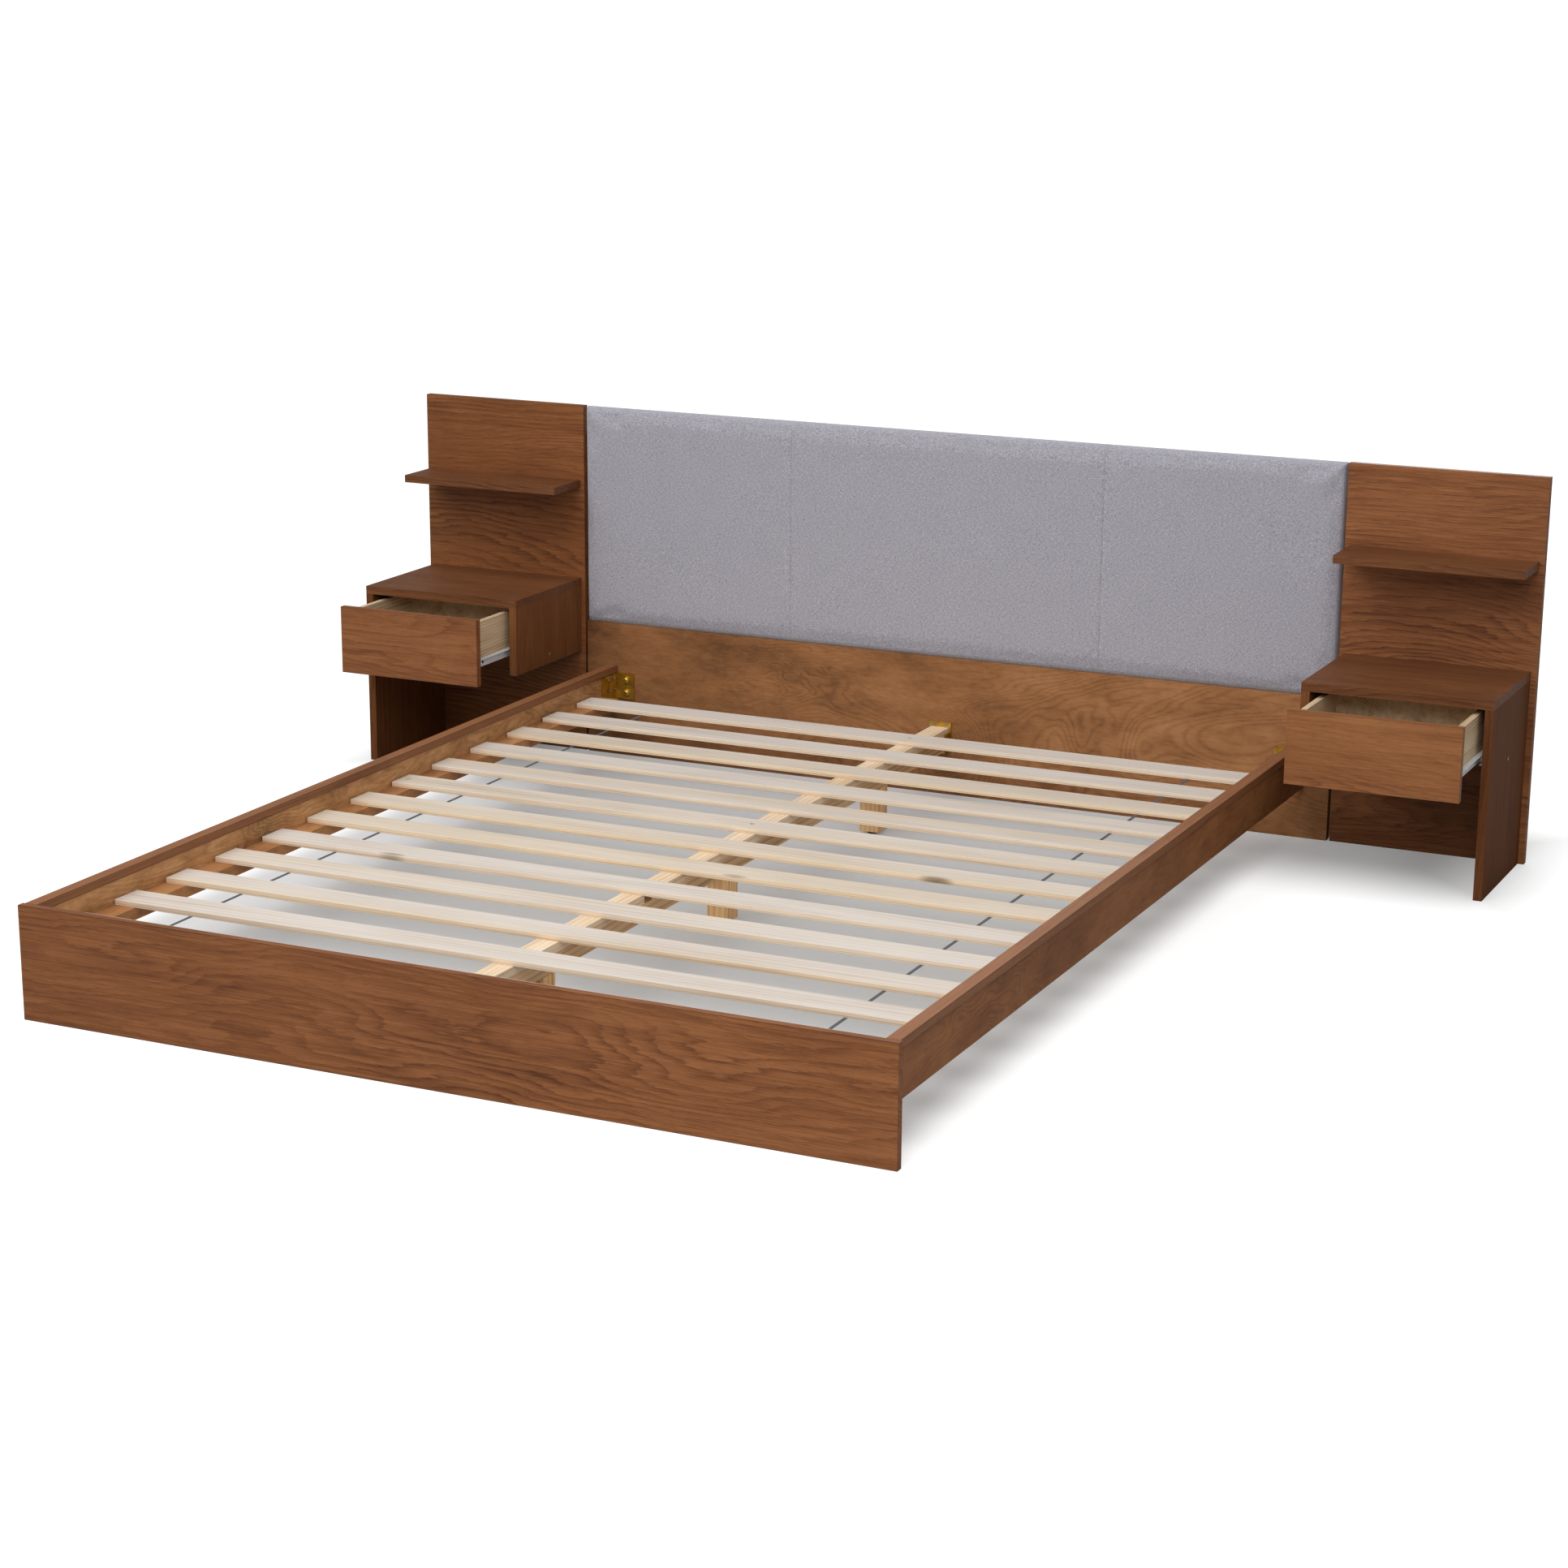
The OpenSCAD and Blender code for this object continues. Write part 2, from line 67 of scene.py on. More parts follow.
class Graph:
    """A material's node tree with short calls for the nodes that the materials here share."""

    def __init__(self, name, roughness=0.5, **shader):
        self.material = bpy.data.materials.new(name)
        self.material.use_nodes = True
        self.tree = self.material.node_tree
        self.shader = self.tree.nodes["Principled BSDF"]
        self.set(self.shader, Roughness=roughness, **shader)

    def set(self, node, **values):
        for key, value in values.items():
            node.inputs[key.replace("_", " ")].default_value = value

    def feed(self, socket, value):
        if isinstance(value, bpy.types.NodeSocket):
            self.tree.links.new(value, socket)
        elif value is not None:
            socket.default_value = value

    def add(self, kind, **settings):
        node = self.tree.nodes.new("ShaderNode" + kind)
        for key, value in settings.items():
            setattr(node, key, value)
        return node

    def math(self, operation, a, b=None, clamp=False):
        node = self.add("Math", operation=operation, use_clamp=clamp)
        self.feed(node.inputs[0], a)
        self.feed(node.inputs[1], b)
        return node.outputs[0]

    def object_xyz(self):
        split = self.add("SeparateXYZ")
        self.feed(split.inputs[0], self.add("TexCoord").outputs["Object"])
        return split.outputs

    def normal_xyz(self):
        """How squarely the surface faces each axis, from 0 to 1."""
        split = self.add("SeparateXYZ")
        self.feed(split.inputs[0], self.add("NewGeometry").outputs["Normal"])
        return [self.math("ABSOLUTE", s) for s in split.outputs]

    def vector(self, x, y, z):
        node = self.add("CombineXYZ")
        for socket, value in zip(node.inputs, (x, y, z)):
            self.feed(socket, value)
        return node.outputs[0]

    def stretched(self, xyz, scales, shift=0.0):
        """Coordinates times a scale on each axis, so many periods a metre, and moved by shift to reach
        another part of the noise."""
        return self.vector(*(self.math("ADD", self.math("MULTIPLY", s, k), shift + 3.7 * i)
                             for i, (s, k) in enumerate(zip(xyz, scales))))

    def noise(self, vector, detail=3.0, roughness=0.5, distortion=0.0):
        node = self.add("TexNoise")
        self.feed(node.inputs["Vector"], vector)
        self.set(node, Scale=1.0, Detail=detail, Roughness=roughness, Distortion=distortion)
        return node.outputs["Fac"]

    def cells(self, vector):
        """Distance to the nearest of the points that are scattered one to each unit cube."""
        node = self.add("TexVoronoi", feature="F1")
        self.feed(node.inputs["Vector"], vector)
        self.set(node, Scale=1.0)
        return node.outputs["Distance"]

    def ramp(self, factor, stops):
        """stops: (position, value) with a number or a linear colour as the value."""
        node = self.add("ValToRGB")
        elements = node.color_ramp.elements
        while len(elements) < len(stops):
            elements.new(0.5)
        for element, (position, value) in zip(elements, stops):
            element.position = position
            element.color = (value,) * 3 + (1.0,) if isinstance(value, (int, float)) else (*value, 1.0)
        self.feed(node.inputs[0], factor)
        return node.outputs[0]

    def mix(self, factor, a, b, blend="MIX"):
        node = self.add("Mix", data_type="RGBA", blend_type=blend)
        self.feed(node.inputs["Factor"], factor)
        for socket, value in ((node.inputs[6], a), (node.inputs[7], b)):
            self.feed(socket, (*value, 1.0) if isinstance(value, tuple) and len(value) == 3 else value)
        return node.outputs[2]

    def bump(self, height, distance, strength=1.0):
        node = self.add("Bump")
        self.set(node, Strength=strength, Distance=distance)
        self.feed(node.inputs["Height"], height)
        self.feed(self.shader.inputs["Normal"], node.outputs[0])

    def vary(self, tone, parts):
        """Adds each (pattern, weight) pair to a tone, with the pattern counted from its middle value."""
        for part, weight in parts:
            tone = self.math("ADD", tone, self.math("MULTIPLY", self.math("SUBTRACT", part, 0.5), weight))
        return tone

    def times(self, colour, factor):
        return self.mix(1.0, colour, factor, "MULTIPLY")

    def colour_so_far(self):
        return self.shader.inputs["Base Color"].links[0].from_socket

    def finish(self, colour, roughness=None):
        self.feed(self.shader.inputs["Base Color"], colour)
        self.feed(self.shader.inputs["Roughness"], roughness)
        return self.material


def grey(value):
    return (value, value, value)


def srgb(r, g, b):
    """Linear colour of a displayed 8-bit colour."""
    return tuple(c / 255 / 12.92 if c <= 10 else ((c / 255 + 0.055) / 1.055) ** 2.4 for c in (r, g, b))


def along_grain(graph, grain):
    """Object coordinates reordered so that the first one runs along the grain."""
    x, y, z = graph.object_xyz()
    return {"X": (x, y, z), "Y": (y, x, z), "Z": (z, x, y)}[grain]


# ------------------------------------------------------------------ materials

def veneer(name, grain, dark, mid, light, seed=0.0, rings=105.0, sway=11.0, contrast=1.0, sheen=0.18):
    """Stained ash-like veneer: wandering growth lines with toothed edges, open pores and soft smudges."""
    g = Graph(name, Specular_IOR_Level=sheen)
    p = along_grain(g, grain)
    across = g.math("ADD", p[1], p[2])
    drift = g.noise(g.stretched(p, (1.3, 5.0, 5.0), seed), detail=2.5, roughness=0.45)
    teeth = g.noise(g.stretched(p, (16.0, 120.0, 120.0), seed + 8), detail=3.0, roughness=0.6)
    field = g.math("ADD", g.math("MULTIPLY", across, rings), g.math("MULTIPLY", drift, sway))
    field = g.math("ADD", field, g.math("MULTIPLY", teeth, 1.3))
    lines = g.ramp(g.math("FRACT", field),
                   [(0.0, 0.95), (0.4, 0.85), (0.78, 0.3), (0.9, 0.0), (1.0, 0.95)])
    strength = g.ramp(g.noise(g.stretched(p, (1.6, 8.0, 8.0), seed + 21), detail=2.0),
                      [(0.36, 0.15), (0.66, 1.0)])
    fibre = g.noise(g.stretched(p, (9.0, 520.0, 520.0), seed + 5), detail=4.0, roughness=0.65)
    streak = g.noise(g.stretched(p, (1.8, 60.0, 60.0), seed + 13), detail=3.0)
    blotch = g.noise(g.stretched(p, (2.6, 6.0, 6.0), seed + 31), detail=4.0, roughness=0.6)
    tone = g.math("MULTIPLY", g.math("MULTIPLY", g.math("SUBTRACT", lines, 0.66), strength), 0.42 * contrast)
    tone = g.vary(tone, ((fibre, 0.85 * contrast), (streak, 0.5 * contrast), (blotch, 0.6 * contrast)))
    tone = g.math("ADD", tone, 0.5, clamp=True)
    colour = g.ramp(tone, [(0.1, dark), (0.5, mid), (0.9, light)])
    smudge = g.ramp(g.noise(g.stretched(p, (3.6, 17.0, 17.0), seed + 47), detail=3.0),
                    [(0.6, 0.0), (0.78, 0.55)])
    colour = g.mix(smudge, colour, dark)
    pores = g.ramp(g.noise(g.stretched(p, (55.0, 1500.0, 1500.0), seed + 2), detail=1.0),
                   [(0.58, 0.0), (0.72, 0.5)])
    colour = g.mix(pores, colour, dark)
    colour = darkened_edges(g, colour, 0.42)
    g.bump(g.math("SUBTRACT", g.math("MULTIPLY", fibre, 0.4), pores), 0.00025, 0.6)
    return g.finish(colour, g.ramp(fibre, [(0.3, 0.46), (0.7, 0.6)]))


def darkened_edges(g, colour, amount):
    """Stain gathers and the veneer ends where two faces meet: darker on eased edges."""
    nx, ny, nz = g.normal_xyz()
    squarest = g.math("MAXIMUM", nx, g.math("MAXIMUM", ny, nz))
    edge = g.ramp(squarest, [(0.9, 1.0), (0.995, 0.0)])
    worn = g.times(colour, (amount, amount * 0.9, amount * 0.85))
    return g.mix(edge, colour, worn)


# how many times paler the stain is on the rails' inner faces: red, green, blue
INNER_WASH = (1.75, 2.35, 2.85)


def stained_ply(name, grain, dark, mid, light, seed, swirl, lean=0.0, inside=0.0):
    """Rotary-cut plywood under a golden stain: swirls and cloudy blotches, paler by lean for each metre along
    the grain, and with a paler wash where it is nearer than inside to the bed's middle plane."""
    g = Graph(name, Specular_IOR_Level=0.18)
    p = along_grain(g, grain)
    height = g.noise(g.stretched(p, (1.4, 3.6, 3.6), seed), detail=3.0, roughness=0.45, distortion=0.8)
    tremble = g.noise(g.stretched(p, (30.0, 60.0, 60.0), seed + 3), detail=2.0)
    contours = g.math("ADD", g.math("MULTIPLY", height, swirl), g.math("MULTIPLY", tremble, 0.35))
    contours = g.ramp(g.math("FRACT", contours), [(0.0, 0.8), (0.4, 0.9), (0.75, 0.0), (1.0, 0.8)])
    shown = g.noise(g.stretched(p, (1.6, 2.4, 2.4), seed + 9), detail=2.0)
    shown = g.ramp(g.math("ADD", shown, g.math("MULTIPLY", p[0], lean * 1.5)), [(0.42, 0.05), (0.6, 1.0)])
    cloud = g.noise(g.stretched(p, (5.0, 12.0, 12.0), seed + 17), detail=6.0, roughness=0.62)
    mottle = g.noise(g.stretched(p, (60.0, 150.0, 150.0), seed + 23), detail=4.0, roughness=0.7)
    fibre = g.noise(g.stretched(p, (16.0, 420.0, 420.0), seed + 29), detail=3.0, roughness=0.6)
    tone = g.math("MULTIPLY", g.math("MULTIPLY", g.math("SUBTRACT", contours, 0.6), shown), 0.22)
    tone = g.vary(tone, ((cloud, 1.3), (mottle, 0.45), (fibre, 0.34)))
    tone = g.math("ADD", tone, g.math("MULTIPLY", p[0], lean))
    tone = g.math("ADD", tone, 0.5, clamp=True)
    colour = g.ramp(tone, [(0.12, dark), (0.5, mid), (0.9, light)])
    if inside:
        towards = g.math("LESS_THAN", g.math("ABSOLUTE", g.object_xyz()[0]), inside)
        washed = g.ramp(tone, [(0.2, dark), (0.5, mid), (0.82, light)])
        colour = g.mix(towards, colour, g.times(washed, INNER_WASH))
    colour = darkened_edges(g, colour, 0.5)
    g.bump(g.math("ADD", fibre, g.math("MULTIPLY", mottle, 0.5)), 0.0002, 0.5)
    return g.finish(colour, g.ramp(mottle, [(0.3, 0.5), (0.7, 0.64)]))


def raw_wood(name, grain, dark, mid, light, seed, rings=90.0, sway=7.0, knots=0.0, contrast=1.0):
    """Unfinished planed softwood: faint growth lines, dry fibres, a few knots and specks. Gives the material
    and its graph, for woods that add to it."""
    g = Graph(name, Specular_IOR_Level=0.25)
    p = along_grain(g, grain)
    across = g.math("ADD", p[1], p[2])
    drift = g.noise(g.stretched(p, (0.8, 6.0, 6.0), seed), detail=2.0)
    field = g.math("ADD", g.math("MULTIPLY", across, rings), g.math("MULTIPLY", drift, sway))
    lines = g.ramp(g.math("PINGPONG", field, 0.5), [(0.0, 0.0), (0.2, 0.7), (0.5, 1.0)])
    streak = g.noise(g.stretched(p, (2.5, 90.0, 90.0), seed + 4), detail=4.0, roughness=0.6)
    fibre = g.noise(g.stretched(p, (16.0, 700.0, 700.0), seed + 7), detail=3.0, roughness=0.65)
    cloud = g.noise(g.stretched(p, (3.0, 20.0, 20.0), seed + 12), detail=3.0)
    tone = g.math("MULTIPLY", g.math("SUBTRACT", lines, 0.8), 0.3 * contrast)
    tone = g.vary(tone, ((streak, 0.7 * contrast), (fibre, 0.35 * contrast), (cloud, 0.9 * contrast)))
    tone = g.math("ADD", tone, 0.55, clamp=True)
    colour = g.ramp(tone, [(0.15, dark), (0.5, mid), (0.85, light)])
    speck = g.ramp(g.noise(g.stretched(p, (55.0, 260.0, 260.0), seed + 15), detail=2.0),
                   [(0.7, 0.0), (0.78, 0.55)])
    colour = g.mix(speck, colour, dark)
    if knots:
        spot = g.cells(g.stretched(p, (knots, knots * 3.2, knots * 3.2), seed + 19))
        knot = g.ramp(spot, [(0.0, 1.0), (0.045, 0.75), (0.09, 0.0)])
        colour = g.mix(knot, colour, tuple(c * 0.45 for c in dark))
    g.bump(g.math("ADD", fibre, g.math("MULTIPLY", streak, 0.6)), 0.0003, 0.6)
    return g.finish(colour, g.ramp(fibre, [(0.3, 0.54), (0.7, 0.72)])), g


def slat_wood():
    """Pale planed slats: near-white tops, yellower sawn edges with a glue line between two layers."""
    material, g = raw_wood("slat_wood", "X", srgb(180, 161, 141), srgb(208, 197, 186), srgb(220, 212, 203),
                           seed=3.0, rings=70.0, sway=5.0, knots=2.4, contrast=0.6)
    x, y, z = g.object_xyz()
    upward = g.normal_xyz()[2]
    slat_low, slat_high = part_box("slat_05")
    level = g.math("DIVIDE", g.math("SUBTRACT", z, slat_low.z), slat_high.z - slat_low.z)
    wander = g.noise(g.stretched((x, y, z), (4.0, 9.0, 60.0), 2.0), detail=3.0)
    level = g.math("ADD", level, g.math("MULTIPLY", g.math("SUBTRACT", wander, 0.5), 0.25))
    layers = g.ramp(level, [(0.0, 0.7), (0.22, 1.0), (0.3, 0.0), (0.4, 1.0), (1.0, 1.0)])
    board = g.ramp(g.noise(g.stretched((x, y, z), (0.15, 9.0, 0.15), 41.0), detail=1.0),
                   [(0.44, 0.0), (0.6, 1.0)])
    planed = g.colour_so_far()
    top = g.mix(board, planed, g.times(planed, (1.01, 0.97, 0.88)))
    sawn = g.times(top, (1.16, 1.07, 0.93))
    sawn = g.times(sawn, g.ramp(layers, [(0.0, (0.62, 0.5, 0.36)), (1.0, (1.0, 1.0, 1.0))]))
    side = g.ramp(upward, [(0.3, 1.0), (0.8, 0.0)])
    g.finish(g.mix(side, top, sawn))
    return material


def laminated():
    """Laminated veneer lumber: thin brown plies stacked on top of each other along the beam."""
    material, g = raw_wood("core", "Y", srgb(160, 120, 80), srgb(214, 174, 128), srgb(232, 200, 158),
                           seed=9.0)
    x, y, z = g.object_xyz()
    ply_thickness = 3.2 * MM
    ply = g.math("ADD", g.math("MULTIPLY", z, 1 / ply_thickness),
                 g.math("MULTIPLY", g.noise(g.stretched((x, y, z), (20.0, 3.0, 20.0)), detail=2.0), 0.5))
    glue = g.ramp(g.math("PINGPONG", ply, 0.5), [(0.0, 0.6), (0.12, 0.92), (0.5, 1.0)])
    g.finish(g.times(g.colour_so_far(), glue))
    return material


def linen():
    """Heathered grey upholstery: a plain weave of flecked threads with soft, uneven tone."""
    g = Graph("linen", roughness=0.92, Sheen_Weight=0.25, Sheen_Roughness=0.5, Specular_IOR_Level=0.2)
    x, y, z = g.object_xyz()
    pitch = 1.1 * MM
    warp = g.math("SINE", g.math("MULTIPLY", g.math("ADD", x, g.math("MULTIPLY", y, 0.7)), math.tau / pitch))
    weft = g.math("SINE", g.math("MULTIPLY", g.math("SUBTRACT", z, g.math("MULTIPLY", y, 0.7)),
                                 math.tau / pitch))
    weave = g.math("MULTIPLY", warp, weft)
    fleck_h = g.noise(g.stretched((x, y, z), (190.0, 700.0, 800.0), 1.0), detail=2.0, roughness=0.7)
    fleck_v = g.noise(g.stretched((x, y, z), (800.0, 700.0, 190.0), 5.0), detail=2.0, roughness=0.7)
    heather = g.noise(g.stretched((x, y, z), (400.0, 400.0, 400.0), 9.0), detail=2.0, roughness=0.7)
    cloud = g.noise(g.stretched((x, y, z), (16.0, 16.0, 16.0), 11.0), detail=3.0)
    tone = g.vary(0.5, ((fleck_h, 0.9), (fleck_v, 0.7), (heather, 0.55), (cloud, 0.05)))
    tone = g.math("ADD", tone, g.math("MULTIPLY", weave, 0.07), clamp=True)
    colour = g.ramp(tone, [(0.15, srgb(114, 113, 122)), (0.5, srgb(160, 158, 167)),
                           (0.85, srgb(201, 199, 208))])
    g.bump(g.math("ADD", g.math("MULTIPLY", weave, 0.5), g.math("MULTIPLY", heather, 0.6)), 0.0003, 0.6)
    return g.finish(colour)


def raw_thread():
    """Twisted grey sewing thread."""
    g = Graph("thread", roughness=0.8, Sheen_Weight=0.2, Specular_IOR_Level=0.3)
    x, y, z = g.object_xyz()
    twist_length = 0.5 * MM
    twist = g.math("SINE", g.math("MULTIPLY", g.math("ADD", g.math("ADD", x, z), y), math.tau / twist_length))
    fuzz = g.noise(g.stretched((x, y, z), (2500.0,) * 3), detail=2.0)
    g.bump(g.math("ADD", twist, fuzz), 0.0001, 0.6)
    return g.finish(g.ramp(fuzz, [(0.3, srgb(88, 86, 92)), (0.7, srgb(120, 118, 124))]))


def metal(name, dark, light, roughness, metallic):
    """Plated or painted metal: cloudy colour, fine rolling scratches and uneven gloss."""
    g = Graph(name, Metallic=metallic)
    p = g.object_xyz()
    cloud = g.noise(g.stretched(p, (60.0,) * 3), detail=4.0, roughness=0.6)
    scratch = g.noise(g.stretched(p, (90.0, 90.0, 1500.0)), detail=2.0)
    colour = g.ramp(cloud, [(0.3, dark), (0.7, light)])
    g.bump(scratch, 0.00004, 0.5)
    return g.finish(colour, g.ramp(scratch, [(0.3, roughness * 0.8), (0.7, min(1.0, roughness * 1.3))]))


def plastic(name, dark, light, roughness):
    """Moulded plastic: a fine pebbled skin with slight scuffs."""
    g = Graph(name, Specular_IOR_Level=0.4)
    p = g.object_xyz()
    pebble = g.noise(g.stretched(p, (1800.0,) * 3), detail=2.0)
    scuff = g.noise(g.stretched(p, (90.0, 220.0, 60.0)), detail=5.0, roughness=0.7)
    g.bump(pebble, 0.00005, 0.6)
    return g.finish(g.ramp(scuff, [(0.35, dark), (0.7, light)]),
                    g.ramp(scuff, [(0.3, roughness), (0.7, min(1.0, roughness + 0.2))]))


def tape():
    """Dark woven tape: ribs across its length."""
    g = Graph("strap", roughness=0.85, Sheen_Weight=0.1)
    x, y = g.object_xyz()[:2]
    rib_pitch, cord_pitch = 1.2 * MM, 1.5 * MM
    ribs = g.math("SINE", g.math("MULTIPLY", y, math.tau / rib_pitch))
    cords = g.math("SINE", g.math("MULTIPLY", x, math.tau / cord_pitch))
    g.bump(g.math("ADD", ribs, cords), 0.0002, 0.6)
    return g.finish(g.ramp(g.math("MULTIPLY", g.math("ADD", ribs, 1.0), 0.5),
                           [(0.0, srgb(48, 48, 52)), (1.0, srgb(92, 92, 98))]))


# dark, middle and light tone of each stain; the tops' and side panels' tones are the walnut darkened, painted
# shade for faces that turn up or sideways, and the right drawer's are the walnut paled, painted light
WALNUT = (srgb(90, 51, 30), srgb(133, 83, 49), srgb(163, 107, 67))
TOPS_SHADED = (srgb(76, 43, 24), srgb(108, 66, 38), srgb(132, 85, 51))
PANELS_SHADED = (srgb(72, 41, 23), srgb(104, 63, 36), srgb(128, 82, 49))
INNER_PANELS_SHADED = (srgb(86, 52, 30), srgb(122, 78, 47), srgb(146, 99, 62))
DRAWER_LIT = (srgb(99, 59, 34), srgb(142, 91, 54), srgb(168, 114, 72))
STAINED = (srgb(100, 65, 39), srgb(141, 95, 58), srgb(170, 120, 78))

materials = {
    "footboard": veneer("footboard", "X", *WALNUT, seed=0.0, rings=60.0, sway=22.0),
    # the left wing's tones are the walnut darkened: painted shade on the left wing
    "wing_left": veneer("wing_left", "X", srgb(80, 45, 23), srgb(125, 76, 42), srgb(158, 102, 60), seed=40.0,
                        rings=85.0, sway=24.0, contrast=0.95),
    "wing_right": veneer("wing_right", "X", *WALNUT, seed=71.0, rings=75.0, sway=24.0, contrast=1.35),
    "tops": veneer("tops", "X", *TOPS_SHADED, seed=95.0, rings=100.0, sway=14.0),
    "outer_sides": veneer("outer_sides", "Z", *PANELS_SHADED, seed=120.0, rings=90.0, sway=14.0, contrast=0.75,
                          sheen=0.03),
    "inner_sides": veneer("inner_sides", "Z", *INNER_PANELS_SHADED, seed=131.0, rings=90.0, sway=16.0, contrast=0.75,
                          sheen=0.03),
    "drawer_left": veneer("drawer_left", "X", *WALNUT, seed=150.0, rings=66.0, sway=20.0),
    "drawer_right": veneer("drawer_right", "X", *DRAWER_LIT, seed=186.0, rings=66.0, sway=22.0),
    "cap": veneer("cap", "Y", srgb(104, 64, 40), srgb(142, 94, 60), srgb(166, 115, 77), seed=210.0,
                  rings=90.0, sway=5.0, contrast=0.6),
    "rail": stained_ply("rail", "Y", srgb(100, 62, 34), srgb(142, 90, 52), srgb(170, 114, 69), seed=4.0,
                        swirl=40.0, inside=-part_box("side_rail_left")[1].x + MM),
    "ledge": stained_ply("ledge", "Y", srgb(120, 76, 44), srgb(168, 116, 72), srgb(194, 142, 96), seed=14.0,
                         swirl=18.0),
    "lower_board": stained_ply("lower_board", "X", *STAINED, seed=31.0, swirl=60.0, lean=0.18),
    "slat": slat_wood(),
    "strip": raw_wood("strip", "Y", srgb(190, 156, 118), srgb(224, 198, 166), srgb(236, 216, 190),
                      seed=6.0)[0],
    "core": laminated(),
    "leg": raw_wood("leg", "Z", srgb(176, 128, 76), srgb(228, 184, 128), srgb(240, 206, 158), seed=17.0)[0],
    "batten": raw_wood("batten", "Z", srgb(154, 112, 66), srgb(202, 164, 114), srgb(222, 190, 144),
                       seed=24.0, knots=2.0)[0],
    "stretcher": raw_wood("stretcher", "X", srgb(104, 68, 40), srgb(142, 98, 60), srgb(170, 124, 82),
                          seed=28.0)[0],
    "box": raw_wood("box", "Y", srgb(140, 110, 76), srgb(202, 175, 140), srgb(226, 204, 172), seed=33.0,
                    rings=160.0, sway=14.0)[0],
    "box_floor": raw_wood("box_floor", "X", srgb(112, 88, 58), srgb(162, 136, 100), srgb(190, 166, 130),
                          seed=38.0, rings=140.0, sway=14.0)[0],
    "linen": linen(),
    "thread": raw_thread(),
    "zinc": metal("zinc", srgb(150, 112, 34), srgb(214, 172, 74), 0.32, 0.85),
    "steel": metal("steel", srgb(120, 118, 112), srgb(190, 188, 182), 0.32, 0.9),
    "black_screw": metal("black_screw", srgb(18, 18, 20), srgb(44, 44, 48), 0.4, 0.6),
    "slide": metal("slide", srgb(206, 210, 214), srgb(228, 231, 234), 0.35, 0.0),
    "nylon": plastic("nylon", srgb(190, 190, 184), srgb(216, 216, 210), 0.45),
    "glide": plastic("glide", srgb(14, 14, 15), srgb(38, 38, 40), 0.5),
    "strap": tape(),
}


def dress(names, key, ease=0.0):
    """Gives CAD nodes their material and, where ease isn't 0, softens their sharp edges by that much."""
    for name in names:
        node = nodes[name]
        node.data.materials.clear()
        node.data.materials.append(materials[key])
        if ease:
            bevel = node.modifiers.new("eased_edges", "BEVEL")
            bevel.width = ease
            bevel.segments = 2
            bevel.limit_method = "ANGLE"
            bevel.angle_limit = math.radians(40)


def sided(stem):
    """Names of a part's left and right nodes."""
    return [f"{stem}_{side}" for side in SIDES]


BOARD_EASE = 0.8 * MM
dress(["footboard_panel"], "footboard")
for side in SIDES:
    dress([f"wing_{side}"], f"wing_{side}")
    dress([f"drawer_front_{side}"], f"drawer_{side}")
dress(sided("shelf") + sided("nightstand_top"), "tops", BOARD_EASE)
dress(sided("outer_side"), "outer_sides", BOARD_EASE)
dress(sided("inner_side"), "inner_sides", BOARD_EASE)
dress(sided("rail_cap"), "cap")
dress(sided("side_rail"), "rail", BOARD_EASE)
dress(sided("slat_ledge"), "ledge", BOARD_EASE)
dress(["headboard_lower_board"], "lower_board", BOARD_EASE)
dress(["headboard_backing"], "lower_board")
dress(["headboard_battens"], "batten", BOARD_EASE)
dress(["bay_stretchers"], "stretcher", BOARD_EASE)
dress([n for n in sorted(nodes) if n.startswith("slat_") and n[5:].isdigit()], "slat")
dress(["centre_beam"], "core")
dress(["beam_strips"], "strip", 0.5 * MM)
dress(["centre_legs"], "leg", 1.5 * MM)
dress(["leg_glides"], "glide")
dress(["slat_straps"], "strap")
dress(["rail_brackets", "beam_brackets"], "zinc", 0.3 * MM)
dress(sided("drawer_sides") + sided("drawer_back"), "box", 0.5 * MM)
dress(sided("drawer_bottom"), "box_floor")
dress(sided("slide_channels") + sided("slide_runners"), "slide")
dress(sided("front_rollers") + sided("rear_rollers"), "nylon")


# ------------------------------------------------------------------ headboard pad

# seams: their places across the pad, and their groove
SEAMS = (-0.35, 0.35)
SEAM_DEPTH = 0.9 * MM
SEAM_WIDTH = 1.8 * MM

# shell: its faces, how far from its edges and seams the extra rows lie, and its rounding and recess
PAD_STEP = 11 * MM
EDGE_ROWS = [0, 3 * MM, 6.5 * MM, 10.5 * MM, 12 * MM]
SEAM_ROWS = [0, 1.6 * MM, 3.6 * MM]
DEPTH_ROWS = [0, 4 * MM, 9 * MM, 15 * MM, 20 * MM]
PAD_ROUNDING = 11 * MM
RECESS_DEPTH = 12.5 * MM
RIM_FACES = 4

# swelling: how far inside the CAD pad the shell starts, where its back is held, and how far it may go
SIDE_INSET = 1.2 * MM
FRONT_INSET = 2.6 * MM
HELD_BACK = 8 * MM
SWELL_FRAMES = 20
SWELL_CAP = 3.4 * MM
SIDEWAYS_SHARE = 0.3

# the cover starts and ends a little below the CAD pad, so that no gap shows above the lower board
START_DROP = 2.6 * MM
PAD_DROP = 3.1 * MM


def spaced(low, high, step, near_ends, near_marks=(), marks=()):
    """Positions from low to high, with extra ones close to both ends and to each mark."""
    fixed = [low + d for d in near_ends] + [high - d for d in near_ends]
    fixed += [m + k * d for m in marks for d in near_marks for k in (-1, 1)]
    fixed = sorted(set(round(v, 6) for v in fixed))
    places = []
    for a, b in zip(fixed, fixed[1:]):
        parts = max(1, round((b - a) / step))
        places += [a + (b - a) * i / parts for i in range(parts)]
    return places + [fixed[-1]]


